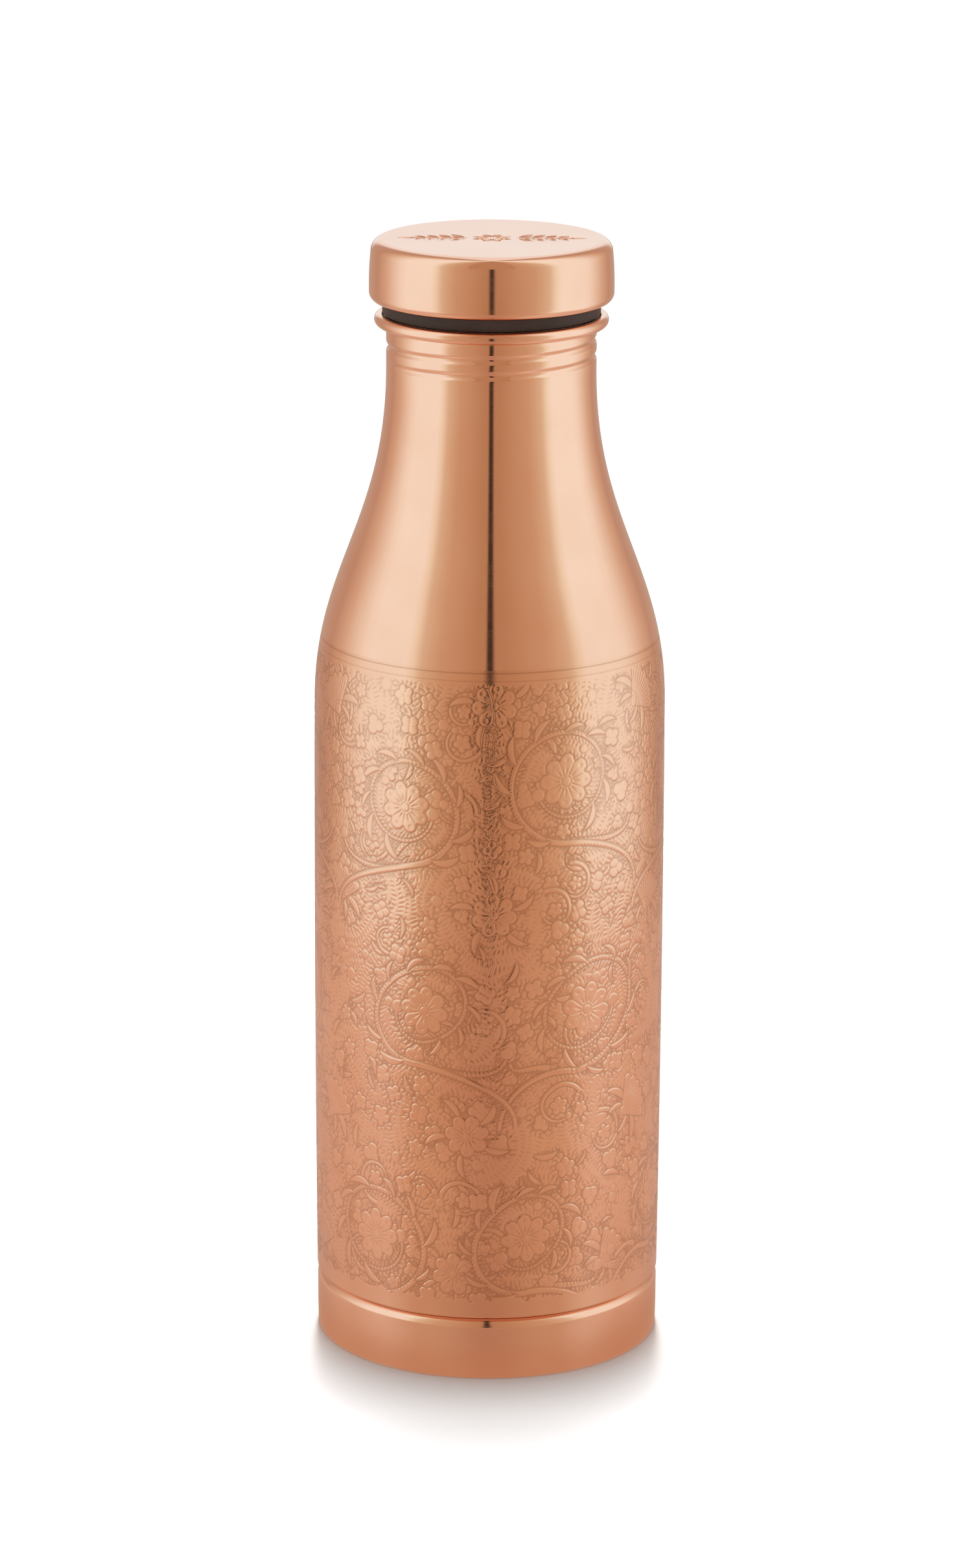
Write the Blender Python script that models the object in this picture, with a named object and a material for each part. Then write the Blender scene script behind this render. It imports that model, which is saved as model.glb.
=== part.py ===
"""Copper water bottle with a screw lid.

The bottle stands on the origin with its axis along +Z. All dimensions below are in millimetres, and MM
turns them into metres when a mesh is made. Every piece is turned from a profile of (radius, height)
points, and the two thread grooves are pressed into the turned sheet afterwards.
"""

import math

import bmesh
import bpy

MM = 0.001
SEGMENTS = 36
CLEARANCE = 0.3

# Bottle body
SHEET = 0.7
BODY_RADIUS = 39.05
BODY_BARREL = 0.35
BODY_MIDDLE_Z = 100.0
BODY_LOWER_Z = 17.3
SPIGOT_RADIUS = 36.1
SPIGOT_BOTTOM_Z = 4.2
SHOULDER_BOTTOM_Z = 146.5
SHOULDER_HANDLE = 30.3
NECK_HANDLE = 35.0
NECK_BOTTOM_Z = 221.6
NECK_RADIUS = 23.05

# Rolled lip at the mouth
LIP_RADIUS = 24.3
LIP_Z = 232.3
LIP_ROLL = 1.36
LIP_TOP_Z = LIP_Z + LIP_ROLL

# Base cup
BASE_RADIUS = 38.58
BASE_BOTTOM_RADIUS = 38.48
BASE_WIDEST_Z = 6.0
BASE_SHEET = 0.8
BASE_SHOULDER_ROUND = 2.45
BASE_SHOULDER_Z = 11.75
BASE_CORNER_ROUND = 0.9
REST_RING_INNER = 34.4
RECESS_RADIUS = 33.2
RECESS_DEPTH = 1.6

# Thread: a right-hand groove rolled into the neck, and its wider match rolled into the lid's plug
THREAD_PITCH = 3.5
THREAD_START_Z = 222.9
THREAD_START_ANGLE = math.radians(-180.0)
THREAD_TURNS = 1.75
THREAD_FADE_TURNS = 0.15
THREAD_MARGIN_TURNS = 0.3
THREAD_ROWS_PER_PITCH = 6
NECK_GROOVE_DEPTH = 0.52
NECK_GROOVE_HALF_WIDTH = 0.85
NECK_RIB_HEIGHT = 0.65
NECK_RIB_HALF_WIDTH = 1.0
PLUG_GROOVE_DEPTH = 0.75
PLUG_GROOVE_HALF_WIDTH = 1.4

# Lid: heights are measured from the top of the rolled lip, where the lid is seated
LID_RADIUS = 26.82
LID_BOTTOM = 2.74
LID_CURL = 2.0
LID_CURL_LIP = 24.4
LID_WIDEST = 6.3
LID_TOP = 250.0 - LIP_TOP_Z
LID_TOP_ROUND = 2.0
LID_TOP_EDGE_RADIUS = 26.45
SOLDER_ROUND = 0.5
PLUG_RADIUS = 22.05
PLUG_FLANGE_RADIUS = 25.1
PLUG_FLANGE_BOTTOM = LID_BOTTOM + SHEET + CLEARANCE
PLUG_FLANGE_ROUND = 0.8
PLUG_LENGTH = 18.0
PLUG_CORNER_ROUND = 2.0
GASKET_INNER = 22.4
GASKET_OUTER = 23.9
GASKET_BOTTOM = CLEARANCE
GASKET_TOP = PLUG_FLANGE_BOTTOM - CLEARANCE
GASKET_ROUND = 0.45
GASKET_CHAMFER = 0.9

COPPER = (0.86, 0.47, 0.30, 1.0)
BARE_COPPER = (0.74, 0.37, 0.23, 1.0)
SOLDER = (0.60, 0.58, 0.55, 1.0)
RUBBER = (0.035, 0.028, 0.026, 1.0)


def arc(radius, height, round_radius, start, end, steps):
    """Points of a round from the start angle to the end angle, in degrees from the outward direction."""
    points = []
    for step in range(steps + 1):
        angle = math.radians(start + (end - start) * step / steps)
        points.append((radius + round_radius * math.cos(angle), height + round_radius * math.sin(angle)))
    return points


def cubic(start, start_handle, end_handle, end, steps):
    """Points of a cubic curve, without its first point."""
    points = []
    for step in range(1, steps + 1):
        t = step / steps
        weights = ((1 - t) ** 3, 3 * t * (1 - t) ** 2, 3 * t * t * (1 - t), t ** 3)
        corners = (start, start_handle, end_handle, end)
        points.append(tuple(sum(w * c[axis] for w, c in zip(weights, corners)) for axis in range(2)))
    return points


def thread_wall(radius, bottom, top):
    """Points up a straight wall, close enough together to carry the thread, without the first point."""
    steps = round((top - bottom) / THREAD_PITCH * THREAD_ROWS_PER_PITCH)
    return [(radius, bottom + (top - bottom) * step / steps) for step in range(1, steps + 1)]


def sheet_loop(outline, thickness):
    """Closes an open outline into a sheet of even thickness, laid to the left of its direction."""
    inside = []
    last = len(outline) - 1
    for index, (radius, height) in enumerate(outline):
        before = outline[max(index - 1, 0)]
        after = outline[min(index + 1, last)]
        along = (after[0] - before[0], after[1] - before[1])
        length = math.hypot(*along)
        left = (-along[1] / length, along[0] / length)
        inside.append((max(radius + left[0] * thickness, 0.0), height + left[1] * thickness))
    return outline + inside[::-1]


def material(name, colour, metallic, roughness):
    made = bpy.data.materials.new(name)
    made.use_nodes = True
    shader = made.node_tree.nodes["Principled BSDF"]
    shader.inputs["Base Color"].default_value = colour
    shader.inputs["Metallic"].default_value = metallic
    shader.inputs["Roughness"].default_value = roughness
    made.diffuse_color = colour
    return made


def turned(name, loop, finish, parent=None):
    """Turns a closed (radius, height) loop round the Z axis."""
    work = bmesh.new()
    verts = [work.verts.new((radius * MM, 0.0, height * MM)) for radius, height in loop]
    on_axis = [radius < 1e-6 for radius, _ in loop]
    edges = []
    for index, vert in enumerate(verts):
        following = (index + 1) % len(verts)
        if not (on_axis[index] and on_axis[following]):
            edges.append(work.edges.new((vert, verts[following])))
    bmesh.ops.spin(
        work,
        geom=verts + edges,
        cent=(0.0, 0.0, 0.0),
        axis=(0.0, 0.0, 1.0),
        angle=math.tau,
        steps=SEGMENTS,
        use_merge=True,
    )
    bmesh.ops.remove_doubles(work, verts=work.verts, dist=1e-6)
    bmesh.ops.recalc_face_normals(work, faces=work.faces)
    mesh = bpy.data.meshes.new(name)
    work.to_mesh(mesh)
    work.free()
    mesh.shade_smooth()
    mesh.set_sharp_from_angle(angle=math.radians(35.0))
    mesh.materials.append(finish)
    made = bpy.data.objects.new(name, mesh)
    bpy.context.collection.objects.link(made)
    made.parent = parent
    return made


def thread_share(angle, height, half_width, bottom_turns, top_turns):
    """How far, from 0 to 1, the helical groove is pressed in at this place on the neck or the plug."""
    turns = ((angle - THREAD_START_ANGLE) % math.tau) / math.tau
    nearest = round((height - THREAD_START_Z) / THREAD_PITCH - turns)
    along = turns + nearest
    off_centre = (height - THREAD_START_Z - along * THREAD_PITCH) / half_width
    if abs(off_centre) >= 1.0:
        return 0.0
    from_end = min(along - bottom_turns, top_turns - along) / THREAD_FADE_TURNS
    fade = min(max(from_end, 0.0), 1.0)
    return 0.5 * (1.0 + math.cos(math.pi * off_centre)) * fade * fade * (3.0 - 2.0 * fade)


def press_thread(piece, base_z, wall_radius, outside, inside, turns):
    """Presses the groove into a wall: outside and inside are its (depth, half width) on each face."""
    middle = wall_radius - SHEET / 2
    for vert in piece.data.vertices:
        radius = math.hypot(vert.co.x, vert.co.y) / MM
        if abs(radius - middle) > SHEET:
            continue
        depth, half_width = outside if radius > middle else inside
        angle = math.atan2(vert.co.y, vert.co.x)
        pressed = depth * thread_share(angle, vert.co.z / MM + base_z, half_width, *turns)
        vert.co.x *= 1.0 - pressed / radius
        vert.co.y *= 1.0 - pressed / radius


def body_side(height):
    """A point on the body's side, which is slightly barrel-shaped."""
    off_middle = (height - BODY_MIDDLE_Z) / (BODY_MIDDLE_Z - BODY_LOWER_Z)
    return (BODY_RADIUS - BODY_BARREL * off_middle ** 2, height)


def body_shell(finish):
    side_radius, side_top = body_side(SHOULDER_BOTTOM_Z)
    lower_round = body_side(BODY_LOWER_Z)[0] - SPIGOT_RADIUS
    thread_top = THREAD_START_Z + (THREAD_TURNS + THREAD_MARGIN_TURNS) * THREAD_PITCH
    outline = [(SPIGOT_RADIUS, SPIGOT_BOTTOM_Z)]
    outline += arc(SPIGOT_RADIUS, BODY_LOWER_Z, lower_round, -90.0, 0.0, 5)
    outline += [body_side((BODY_LOWER_Z + BODY_MIDDLE_Z) / 2), body_side(BODY_MIDDLE_Z)]
    outline.append((side_radius, side_top))
    outline += cubic(
        (side_radius, side_top),
        (side_radius, side_top + SHOULDER_HANDLE),
        (NECK_RADIUS, NECK_BOTTOM_Z - NECK_HANDLE),
        (NECK_RADIUS, NECK_BOTTOM_Z),
        11,
    )
    outline += thread_wall(NECK_RADIUS, NECK_BOTTOM_Z, thread_top)
    # The sheet opens a little and rolls outwards and down, until its edge is close to the neck again.
    outline += arc(LIP_RADIUS, LIP_Z, LIP_ROLL - SHEET, 180.0, -100.0, 8)
    body = turned("body_shell", sheet_loop(outline, SHEET), finish)
    groove = (NECK_GROOVE_DEPTH, NECK_GROOVE_HALF_WIDTH)
    rib = (NECK_RIB_HEIGHT, NECK_RIB_HALF_WIDTH)
    press_thread(body, 0.0, NECK_RADIUS, groove, rib, (0.0, THREAD_TURNS))
    return body


def base_cup(finish):
    """A drawn cup. It stands on a flat ring round a shallow recess, and its top edge turns inwards."""
    outline = [(0.0, RECESS_DEPTH), (RECESS_RADIUS, RECESS_DEPTH), (REST_RING_INNER, 0.0)]
    corner_centre = BASE_BOTTOM_RADIUS - BASE_CORNER_ROUND
    outline += arc(corner_centre, BASE_CORNER_ROUND, BASE_CORNER_ROUND, -90.0, 0.0, 3)
    outline.append((BASE_RADIUS, BASE_WIDEST_Z))
    shoulder_centre = BASE_RADIUS - BASE_SHOULDER_ROUND
    outline += arc(shoulder_centre, BASE_SHOULDER_Z, BASE_SHOULDER_ROUND, 0.0, 75.0, 5)
    return turned("base_cup", sheet_loop(outline, BASE_SHEET), finish)


def solder_ring(finish):
    """Solder lies in the gutter between the cup's floor, its wall and the body's lower edge."""
    floor_z = BASE_SHEET + CLEARANCE
    top_z = SPIGOT_BOTTOM_Z - CLEARANCE
    inner = REST_RING_INNER + BASE_SHEET
    wall = BASE_BOTTOM_RADIUS - BASE_SHEET - CLEARANCE
    loop = [(inner, floor_z), (wall - SOLDER_ROUND, floor_z), (wall, floor_z + SOLDER_ROUND)]
    loop += [(wall, top_z - SOLDER_ROUND), (wall - SOLDER_ROUND, top_z), (inner, top_z)]
    return turned("solder_ring", loop, finish)


def cap_shell(finish, parent):
    """The lid's outer cup: its lower edge is curled in, and its side is slightly bulged."""
    side_top = LID_TOP - LID_TOP_ROUND
    outline = [(LID_CURL_LIP, LID_BOTTOM)]
    outline += arc(LID_RADIUS - LID_CURL, LID_BOTTOM + LID_CURL, LID_CURL, -90.0, 0.0, 5)
    for share in (0.0, 0.5):
        narrowing = (LID_RADIUS - LID_TOP_EDGE_RADIUS) * share ** 2
        outline.append((LID_RADIUS - narrowing, LID_WIDEST + (side_top - LID_WIDEST) * share))
    outline += arc(LID_TOP_EDGE_RADIUS - LID_TOP_ROUND, side_top, LID_TOP_ROUND, 0.0, 90.0, 5)
    outline.append((0.0, LID_TOP))
    return turned("cap_shell", sheet_loop(outline, SHEET), finish, parent)


def cap_plug(finish, parent):
    """A drawn cup, closed at its lower end, with a flange at its top and the thread down its wall."""
    bottom = PLUG_FLANGE_BOTTOM - PLUG_LENGTH
    wall_bottom = bottom + PLUG_CORNER_ROUND
    groove_turns = THREAD_TURNS + THREAD_MARGIN_TURNS
    thread_top = THREAD_START_Z + groove_turns * THREAD_PITCH + PLUG_GROOVE_HALF_WIDTH - LIP_TOP_Z
    fillet_centre = (PLUG_RADIUS + PLUG_FLANGE_ROUND, PLUG_FLANGE_BOTTOM - PLUG_FLANGE_ROUND)
    outline = [(0.0, bottom)]
    outline += arc(PLUG_RADIUS - PLUG_CORNER_ROUND, wall_bottom, PLUG_CORNER_ROUND, -90.0, 0.0, 3)
    outline += thread_wall(PLUG_RADIUS, wall_bottom, thread_top)
    outline += arc(*fillet_centre, PLUG_FLANGE_ROUND, 180.0, 90.0, 3)
    outline.append((PLUG_FLANGE_RADIUS, PLUG_FLANGE_BOTTOM))
    plug = turned("cap_plug", sheet_loop(outline, SHEET), finish, parent)
    groove = (PLUG_GROOVE_DEPTH, PLUG_GROOVE_HALF_WIDTH)
    below_the_plug = (bottom + LIP_TOP_Z - THREAD_START_Z) / THREAD_PITCH - 1.0
    press_thread(plug, LIP_TOP_Z, PLUG_RADIUS, groove, groove, (below_the_plug, groove_turns))
    return plug


def cap_gasket(finish, parent):
    centre = GASKET_OUTER - GASKET_ROUND
    loop = arc(centre, GASKET_BOTTOM + GASKET_ROUND, GASKET_ROUND, -90.0, 0.0, 2)
    loop += arc(centre, GASKET_TOP - GASKET_ROUND, GASKET_ROUND, 0.0, 90.0, 2)
    loop += [(GASKET_INNER + GASKET_CHAMFER, GASKET_TOP), (GASKET_INNER, GASKET_TOP - GASKET_CHAMFER)]
    loop.append((GASKET_INNER, GASKET_BOTTOM))
    return turned("cap_gasket", loop, finish, parent)


def axis_empty(name, height, parent=None):
    empty = bpy.data.objects.new(name, None)
    bpy.context.collection.objects.link(empty)
    empty.parent = parent
    empty.location.z = height * MM
    return empty


def main():
    for stale in list(bpy.data.objects):
        bpy.data.objects.remove(stale, do_unlink=True)
    body_shell(material("body_copper", COPPER, 1.0, 0.16))
    base_cup(material("base_copper", COPPER, 1.0, 0.22))
    solder_ring(material("solder", SOLDER, 1.0, 0.45))
    # The whole lid rises on the thread; the shell and the plug also turn.
    cap_rise = axis_empty("cap_rise_axis", LIP_TOP_Z)
    cap_turn = axis_empty("cap_turn_axis", 0.0, parent=cap_rise)
    cap_gasket(material("gasket_rubber", RUBBER, 0.0, 0.55), cap_rise)
    cap_shell(material("lid_copper", COPPER, 1.0, 0.14), cap_turn)
    cap_plug(material("plug_copper", BARE_COPPER, 1.0, 0.32), cap_turn)


main()
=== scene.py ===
"""Looks of the copper water bottle: fine meshes, engraved relief, materials, light and camera.

Lengths are in millimetres until MM turns them into metres, but node settings and stage sizes are in
metres. The outlines repeat the CAD model's own dimensions, so each fine piece lies where its CAD solid
does; the few dimensions that differ stand in a block of their own.
"""

import math

import bmesh
import bpy
import numpy as np
from mathutils import Matrix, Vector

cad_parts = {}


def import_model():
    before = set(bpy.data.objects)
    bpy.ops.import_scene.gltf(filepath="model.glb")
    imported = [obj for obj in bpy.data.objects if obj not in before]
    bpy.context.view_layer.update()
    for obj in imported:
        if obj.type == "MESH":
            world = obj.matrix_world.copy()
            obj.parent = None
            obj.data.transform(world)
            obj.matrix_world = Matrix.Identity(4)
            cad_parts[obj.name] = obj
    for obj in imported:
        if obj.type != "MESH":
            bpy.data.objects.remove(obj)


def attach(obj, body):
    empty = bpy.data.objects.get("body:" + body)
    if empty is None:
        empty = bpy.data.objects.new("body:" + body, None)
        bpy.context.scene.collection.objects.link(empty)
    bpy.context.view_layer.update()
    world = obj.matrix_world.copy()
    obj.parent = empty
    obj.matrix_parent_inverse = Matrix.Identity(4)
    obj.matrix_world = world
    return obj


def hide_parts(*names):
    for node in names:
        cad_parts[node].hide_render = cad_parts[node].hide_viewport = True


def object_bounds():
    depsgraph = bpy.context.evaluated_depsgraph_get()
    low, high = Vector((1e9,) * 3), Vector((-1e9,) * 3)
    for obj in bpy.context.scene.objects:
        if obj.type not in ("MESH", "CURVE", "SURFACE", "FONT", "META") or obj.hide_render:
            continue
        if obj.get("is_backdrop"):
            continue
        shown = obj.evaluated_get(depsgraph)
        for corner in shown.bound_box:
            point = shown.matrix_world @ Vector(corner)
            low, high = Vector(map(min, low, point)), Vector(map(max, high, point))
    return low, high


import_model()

cad_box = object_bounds()
MM = 0.001

# ------------ dimensions shared with the CAD model
SHEET = 0.7
BODY_RADIUS = 39.05
BODY_BARREL = 0.35
BODY_MIDDLE_Z = 100.0
BODY_LOWER_Z = 17.3
SPIGOT_RADIUS = 36.1
SPIGOT_BOTTOM_Z = 4.2
SHOULDER_BOTTOM_Z = 146.5
SHOULDER_HANDLE = 30.3
NECK_HANDLE = 35.0
NECK_BOTTOM_Z = 221.6
NECK_RADIUS = 23.05
LIP_RADIUS = 24.3
LIP_Z = 232.3
LIP_ROLL = 1.36
LIP_TOP_Z = LIP_Z + LIP_ROLL
BASE_RADIUS = 38.58
BASE_BOTTOM_RADIUS = 38.48
BASE_WIDEST_Z = 6.0
BASE_SHEET = 0.8
BASE_SHOULDER_ROUND = 2.45
BASE_SHOULDER_Z = 11.75
BASE_CORNER_ROUND = 0.9
REST_RING_INNER = 34.4
RECESS_RADIUS = 33.2
RECESS_DEPTH = 1.6
THREAD_PITCH = 3.5
THREAD_START_Z = 222.9
THREAD_START_ANGLE = math.radians(-180.0)
THREAD_TURNS = 1.75
THREAD_FADE_TURNS = 0.15
THREAD_MARGIN_TURNS = 0.3
THREAD_ROW = 0.2
NECK_RIB = (0.65, 1.0)
PLUG_GROOVE = (0.75, 1.4)
LID_RADIUS = 26.82
LID_BOTTOM = 2.74
LID_CURL = 2.0
LID_CURL_LIP = 24.4
LID_WIDEST = 6.3
LID_TOP = 250.0 - LIP_TOP_Z
LID_TOP_EDGE_RADIUS = 26.45
PLUG_RADIUS = 22.05
PLUG_FLANGE_RADIUS = 25.1
PLUG_FLANGE_BOTTOM = LID_BOTTOM + SHEET + 0.3
PLUG_FLANGE_ROUND = 0.8
PLUG_LENGTH = 18.0
PLUG_CORNER_ROUND = 2.0
GASKET_INNER = 22.4
GASKET_OUTER = 23.9
GASKET_BOTTOM = 0.05
GASKET_TOP = LID_BOTTOM + SHEET
GASKET_ROUND = 0.45
GASKET_CHAMFER = 0.9

# ------------ dimensions of the visual model only
TURNED_SEGMENTS = 288
LID_SEGMENTS = 384
SOLDER_SEGMENTS = 144
SHARP_ANGLE = 35.0
ENGRAVED_BOTTOM_Z = 17.0
ENGRAVED_TOP_Z = 162.4
UPPER_BORDER_Z = 161.7
LOWER_BORDER_Z = 160.0
PANELS = 8
PANEL_COLUMNS = 139
PANEL_ROWS = 645
PANEL_INNER_STEP = 129
DEEPEST = 0.07
ORNAMENT_DEPTH = 0.35
ORNAMENT_WALL = 0.35
SEEN_NECK_GROOVE = (0.5, 1.2)
LID_TOP_ROUND = 2.7
LOWER_EDGE_Z = 14.9
LOWER_EDGE_ROUND = 0.8
LOWER_EDGE_GAP = 0.06
LOWER_EDGE_ANGLE = 59.0
SEEN_GASKET_ROUND = 0.15
COLUMNS = PANELS * PANEL_COLUMNS
ROW_HEIGHTS = np.linspace(ENGRAVED_BOTTOM_Z, ENGRAVED_TOP_Z, PANEL_ROWS + 1)


# ------------ outlines: lists of (radius, height)
def arc(radius, height, round_radius, start, end, steps):
    """Points of a round from the start angle to the end angle, in degrees from the outward direction."""
    angles = np.radians(np.linspace(start, end, steps + 1))
    return [(radius + round_radius * math.cos(a), height + round_radius * math.sin(a)) for a in angles]


def straight(start, end, spacing):
    """Points from start to end, without the start."""
    steps = max(1, round(math.dist(start, end) / spacing))
    shares = np.linspace(0.0, 1.0, steps + 1)[1:]
    return [(start[0] + (end[0] - start[0]) * s, start[1] + (end[1] - start[1]) * s) for s in shares]


def bezier(start, start_handle, end_handle, end, points):
    t = np.linspace(0.0, 1.0, points)[:, None]
    corners = np.array([start, start_handle, end_handle, end], float)
    weights = np.concatenate([(1 - t) ** 3, 3 * t * (1 - t) ** 2, 3 * t * t * (1 - t), t**3], axis=1)
    return weights @ corners


def left_of(along):
    """Unit vectors to the left of each direction."""
    along = along / np.linalg.norm(along, axis=1)[:, None]
    return np.stack([-along[:, 1], along[:, 0]], axis=1)


def sheet_loop(outline, thickness):
    """Closes an open outline into a sheet of even thickness, laid to the left of its direction."""
    line = np.array(outline)
    inside = line + thickness * left_of(np.gradient(line, axis=0))
    inside[:, 0] = np.maximum(inside[:, 0], 0.0)
    return np.concatenate([line, inside[::-1]])


def body_side(height):
    """The radius of the body's slightly barrel-shaped side."""
    off_middle = (height - BODY_MIDDLE_Z) / (BODY_MIDDLE_Z - BODY_LOWER_Z)
    return BODY_RADIUS - BODY_BARREL * off_middle**2


SIDE_TOP_RADIUS = body_side(SHOULDER_BOTTOM_Z)
SHOULDER_CURVE = bezier(
    (SIDE_TOP_RADIUS, SHOULDER_BOTTOM_Z),
    (SIDE_TOP_RADIUS, SHOULDER_BOTTOM_Z + SHOULDER_HANDLE),
    (NECK_RADIUS, NECK_BOTTOM_Z - NECK_HANDLE),
    (NECK_RADIUS, NECK_BOTTOM_Z),
    points=401,
)


def outer_radius(height):
    """The radius of the body's outside anywhere from the lower edge of its side to the neck."""
    on_curve = np.interp(height, SHOULDER_CURVE[:, 1], SHOULDER_CURVE[:, 0])
    return np.where(height < SHOULDER_BOTTOM_Z, body_side(height), on_curve)


# ------------ meshes
def linked(name, data):
    made = bpy.data.objects.new(name, data)
    bpy.context.scene.collection.objects.link(made)
    return made


def add_object(name, vertices, faces, finish):
    mesh = bpy.data.meshes.new(name)
    mesh.from_pydata(vertices, [], faces)
    mesh.materials.append(finish)
    return linked(name, mesh)


def round_the_axis(radius, height, angle):
    """Points in metres for heights and radii at angles round the Z axis."""
    radius, height, angle = np.broadcast_arrays(radius, height, angle)
    return np.stack([radius * np.cos(angle), radius * np.sin(angle), height], axis=-1) * MM


def groove(off_centre):
    """The rounded profile of a groove: 1 in its middle, 0 at its edge and beyond."""
    return 0.5 * (1.0 + np.cos(math.pi * np.clip(off_centre, -1.0, 1.0)))


def thread_share(angle, height, half_width, bottom_turns, top_turns):
    """How far, from 0 to 1, the helical groove is pressed in at each place on the neck or the plug."""
    turns = np.mod(angle - THREAD_START_ANGLE, math.tau) / math.tau
    nearest = np.round((height - THREAD_START_Z) / THREAD_PITCH - turns)
    along = turns + nearest
    off_centre = (height - THREAD_START_Z - along * THREAD_PITCH) / half_width
    from_end = np.minimum(along - bottom_turns, top_turns - along) / THREAD_FADE_TURNS
    fade = np.clip(from_end, 0.0, 1.0)
    return groove(off_centre) * fade * fade * (3.0 - 2.0 * fade)


def turned(name, loop, finish, base_z=0.0, reshape=None, segments=TURNED_SEGMENTS):
    """Turns a closed (radius, height) loop round the Z axis; reshape may move the points of the grid."""
    loop = np.asarray(loop)
    count = len(loop)
    angle = np.arange(segments)[:, None] * math.tau / segments
    radius = np.repeat(loop[None, :, 0], segments, axis=0)
    height = np.repeat(loop[None, :, 1], segments, axis=0) + base_z
    if reshape:
        radius, height = reshape(angle, radius, height)
    points = round_the_axis(radius, height, angle)
    here = np.arange(count)
    following = (here + 1) % count
    solid = ~((loop[here, 0] < 1e-6) & (loop[following, 0] < 1e-6))
    here, following = here[solid], following[solid]
    first = (np.arange(segments) * count)[:, None]
    second = np.roll(first, -1, axis=0)
    faces = np.stack([first + here, second + here, second + following, first + following], axis=-1)
    made = add_object(name, points.reshape(-1, 3), faces.reshape(-1, 4).tolist(), finish)
    work = bmesh.new()
    work.from_mesh(made.data)
    bmesh.ops.remove_doubles(work, verts=work.verts, dist=1e-7)
    bmesh.ops.recalc_face_normals(work, faces=work.faces)
    work.to_mesh(made.data)
    work.free()
    made.data.shade_smooth()
    made.data.set_sharp_from_angle(angle=math.radians(SHARP_ANGLE))
    return made


def pressed_thread(wall_radius, outside, inside, turns):
    """A reshape that presses the groove into a wall. outside and inside are its (depth, half width)."""
    middle = wall_radius - SHEET / 2

    def reshape(angle, radius, height):
        on_wall = np.abs(radius - middle) < SHEET
        outer = outside[0] * thread_share(angle, height, outside[1], *turns)
        inner = inside[0] * thread_share(angle, height, inside[1], *turns)
        depth = np.where(radius > middle, outer, inner)
        return radius - np.where(on_wall, depth, 0.0), height

    return reshape


# ------------ materials
def new_material(name):
    made = bpy.data.materials.new(name)
    made.use_nodes = True
    return made, made.node_tree, made.node_tree.nodes["Principled BSDF"]


def put(tree, socket, value):
    """Sets a socket's own value, or links another node's output to it."""
    if isinstance(value, bpy.types.NodeSocket):
        tree.links.new(value, socket)
    else:
        socket.default_value = value


def put_all(tree, made, inputs):
    for key, value in inputs.items():
        put(tree, made.inputs[key], value)


def node(tree, kind, inputs=None, **settings):
    made = tree.nodes.new("ShaderNode" + kind)
    for key, value in settings.items():
        setattr(made, key, value)
    put_all(tree, made, inputs or {})
    return made


def maths(tree, operation, *values):
    return node(tree, "Math", dict(enumerate(values)), operation=operation).outputs[0]


def mapped(tree, value, low, high, to_low, to_high, smooth=False):
    kind = "SMOOTHSTEP" if smooth else "LINEAR"
    inputs = {"Value": value, "From Min": low, "From Max": high, "To Min": to_low, "To Max": to_high}
    return node(tree, "MapRange", inputs, interpolation_type=kind).outputs[0]


def mixed(tree, share, first, second):
    inputs = {0: share, 6: first, 7: second}
    return node(tree, "Mix", inputs, data_type="RGBA").outputs[2]


def noise(tree, vector, scale, detail=2.0, roughness=0.5):
    inputs = {"Vector": vector, "Scale": scale, "Detail": detail, "Roughness": roughness}
    return node(tree, "TexNoise", inputs).outputs[0]


def clouded(tree, cloud, first, second):
    """Two colours that change into each other in soft patches."""
    return mixed(tree, mapped(tree, cloud, 0.35, 0.7, 0.0, 1.0), first, second)


def bumped(tree, shader, height, strength, distance):
    inputs = {"Height": height, "Strength": strength, "Distance": distance * MM}
    put(tree, shader.inputs["Normal"], node(tree, "Bump", inputs).outputs[0])


def own_place(tree):
    return node(tree, "TexCoord").outputs["Object"]


def turned_noise(tree, rates, detail, roughness=0.5):
    """Noise drawn out into marks that run round the axis, at rates of (round it, across it)."""
    along, across = rates
    axes = node(tree, "SeparateXYZ", {0: own_place(tree)}).outputs
    x_squared = maths(tree, "MULTIPLY", axes[0], axes[0])
    y_squared = maths(tree, "MULTIPLY", axes[1], axes[1])
    radius = maths(tree, "SQRT", maths(tree, "ADD", x_squared, y_squared))
    up_the_wall = maths(tree, "MULTIPLY", maths(tree, "ADD", radius, axes[2]), across)
    x = maths(tree, "MULTIPLY", axes[0], along)
    y = maths(tree, "MULTIPLY", axes[1], along)
    marks = node(tree, "CombineXYZ", {0: x, 1: y, 2: up_the_wall}).outputs[0]
    return noise(tree, marks, 1.0, detail, roughness)


COPPER = (0.945, 0.60, 0.46, 1.0)
COPPER_DEEP = (0.905, 0.54, 0.40, 1.0)
BRUSHED = (0.92, 0.56, 0.41, 1.0)
BRUSHED_DEEP = (0.88, 0.51, 0.365, 1.0)
SATIN = (0.87, 0.52, 0.40, 1.0)
SATIN_DEEP = (0.79, 0.44, 0.32, 1.0)
# painted shade: the dark colour mixed into the engraved cuts
CUT_SHADE = (0.42, 0.21, 0.14, 1.0)
RUBBER = (0.045, 0.030, 0.026, 1.0)
RUBBER_PALE = (0.065, 0.045, 0.040, 1.0)
TIN = (0.62, 0.6, 0.56, 1.0)
TIN_DULL = (0.42, 0.4, 0.38, 1.0)

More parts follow.
